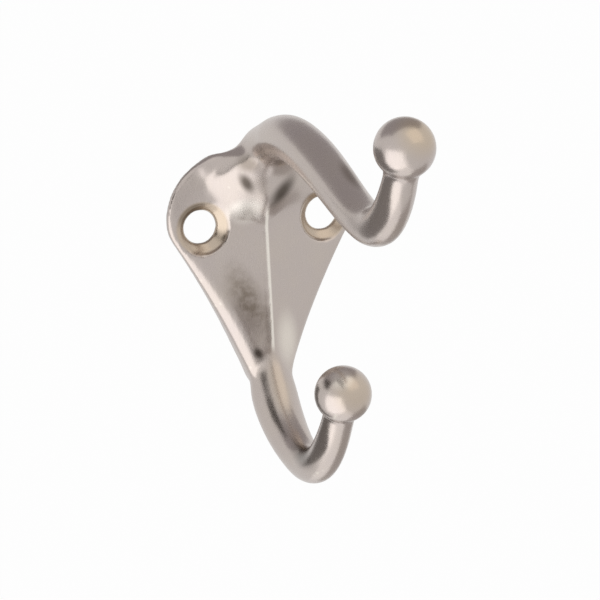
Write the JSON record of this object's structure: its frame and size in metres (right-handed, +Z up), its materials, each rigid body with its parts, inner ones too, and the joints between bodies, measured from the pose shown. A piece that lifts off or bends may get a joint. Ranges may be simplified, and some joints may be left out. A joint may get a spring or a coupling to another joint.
{
  "type": "double robe hook",
  "caption": "Cast wall hook with a shield-shaped back plate, an upper and a lower arm with ball ends and countersunk screw holes.",
  "frame": {"origin": "on the wall plane, half way between the two screw holes", "axes": "+Z up, +Y into the wall, the arms reach out along -Y, +X to the right seen from the room"},
  "size_m": [0.0318, 0.0598, 0.0654],
  "materials": {
    "satin_nickel": "satin nickel plate on cast metal"
  },
  "bodies": {
    "root": {"robe_hook": "satin_nickel"}
  },
  "joints": []
}
